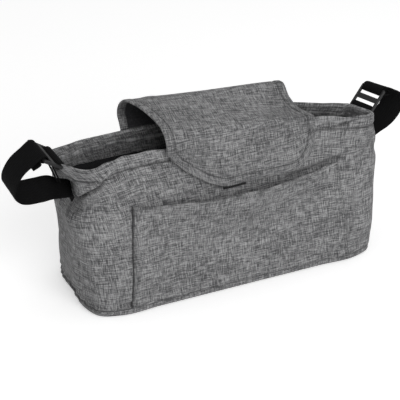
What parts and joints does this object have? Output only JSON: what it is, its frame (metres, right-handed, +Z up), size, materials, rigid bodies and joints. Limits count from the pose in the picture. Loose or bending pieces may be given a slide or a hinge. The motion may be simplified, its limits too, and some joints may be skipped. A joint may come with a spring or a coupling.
{
  "type": "pet stroller caddy",
  "caption": "Open-topped soft caddy bag that hangs on a stroller, with a cover flap, a gaping front pocket and an adjustable webbing loop at each end.",
  "frame": {"origin": "centre of the base panel's underside", "axes": "+X along the bag's length, -Y to the front where the patch pocket is, +Z up"},
  "size_m": [0.4678, 0.1327, 0.1929],
  "materials": {
    "grey_cloth": "mottled mid grey crosshatch weave, matt",
    "lining": "thin black woven lining, slight sheen",
    "foam": "soft closed-cell foam sheet between the cloths",
    "board": "stiff base board",
    "black_webbing": "black ribbed webbing",
    "closure": "black hook-and-loop tape",
    "slider_plastic": "satin black moulded plastic"
  },
  "bodies": {
    "root": {"base_panel": "grey_cloth", "base_board": "board", "base_lining": "lining", "front_panel": "grey_cloth", "back_panel": "grey_cloth", "wall_padding": "foam", "wall_lining": "lining", "rim_facing": "grey_cloth", "left_divider": "lining", "right_divider": "lining", "front_pocket": "grey_cloth", "flap_lining": "lining", "flap_cloth": "grey_cloth", "front_loop_patch": "closure", "flap_hook_patch": "closure", "left_strap": "black_webbing", "left_slider_tab": "black_webbing", "left_slider": "slider_plastic", "right_strap": "black_webbing", "right_slider_tab": "black_webbing", "right_slider": "slider_plastic"}
  },
  "joints": []
}
